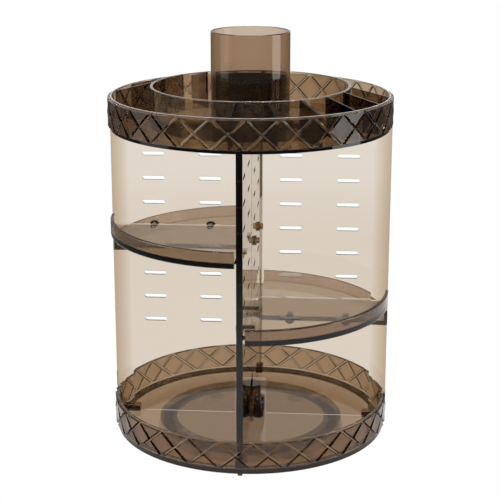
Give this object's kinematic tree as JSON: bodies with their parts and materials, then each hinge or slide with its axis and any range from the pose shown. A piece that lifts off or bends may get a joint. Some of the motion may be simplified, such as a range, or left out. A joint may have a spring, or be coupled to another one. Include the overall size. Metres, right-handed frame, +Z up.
{
  "type": "rotating makeup organizer",
  "caption": "Round smoked clear organizer that turns on a base: faceted trays above and below, slotted panels carrying quarter shelves between them, and a brush cup.",
  "frame": {"origin": "on the table under the middle of the turntable, at the bottom of the feet", "axes": "+Z up along the turning axis; the panels stand along X and Y; the front of the picture is -Y"},
  "size_m": [0.2296, 0.2296, 0.3382],
  "materials": {
    "smoked_plastic": "smoked brown, clear, polished",
    "plug_plastic": "smoked brown, clear, polished",
    "base_plastic": "smoked brown, plain",
    "cage_plastic": "plain",
    "ball_steel": "polished",
    "screw_steel": "plated",
    "foot_rubber": "matt"
  },
  "bodies": {
    "base": {"base_disc": "base_plastic", "base_feet": "foot_rubber", "pivot_screw": "screw_steel", "pivot_washer": "screw_steel"},
    "cage": {"ball_cage": "cage_plastic", "bearing_balls": "ball_steel"},
    "rotor": {"front_panel": "smoked_plastic", "back_panel": "smoked_plastic", "left_panel": "smoked_plastic", "right_panel": "smoked_plastic", "front_left_shelf": "smoked_plastic", "front_right_shelf": "smoked_plastic", "back_left_shelf": "smoked_plastic", "back_right_shelf": "smoked_plastic", "bottom_tray": "smoked_plastic", "top_tray": "smoked_plastic", "divider_ring": "smoked_plastic", "center_hub": "smoked_plastic", "front_left_plugs": "plug_plastic", "front_right_plugs": "plug_plastic", "back_left_plugs": "plug_plastic", "back_right_plugs": "plug_plastic", "upper_race": "base_plastic"},
    "cup": {"brush_cup": "smoked_plastic"}
  },
  "joints": [
    {"name": "tray_spin", "type": "hinge", "parent": "base", "child": "rotor", "pos_m": [0, 0, 0.0104], "axis": [0, 0, 1], "continuous": true},
    {"name": "cage_spin", "type": "hinge", "parent": "base", "child": "cage", "pos_m": [0, 0, 0.0062], "axis": [0, 0, 1], "continuous": true},
    {"name": "cup_lift", "type": "slide", "parent": "rotor", "child": "cup", "axis": [0, 0, 1], "range_m": [0, 0.09]}
  ],
  "couplings": [
    {"joint": "cage_spin", "follows": "tray_spin", "ratio": 0.5}
  ]
}
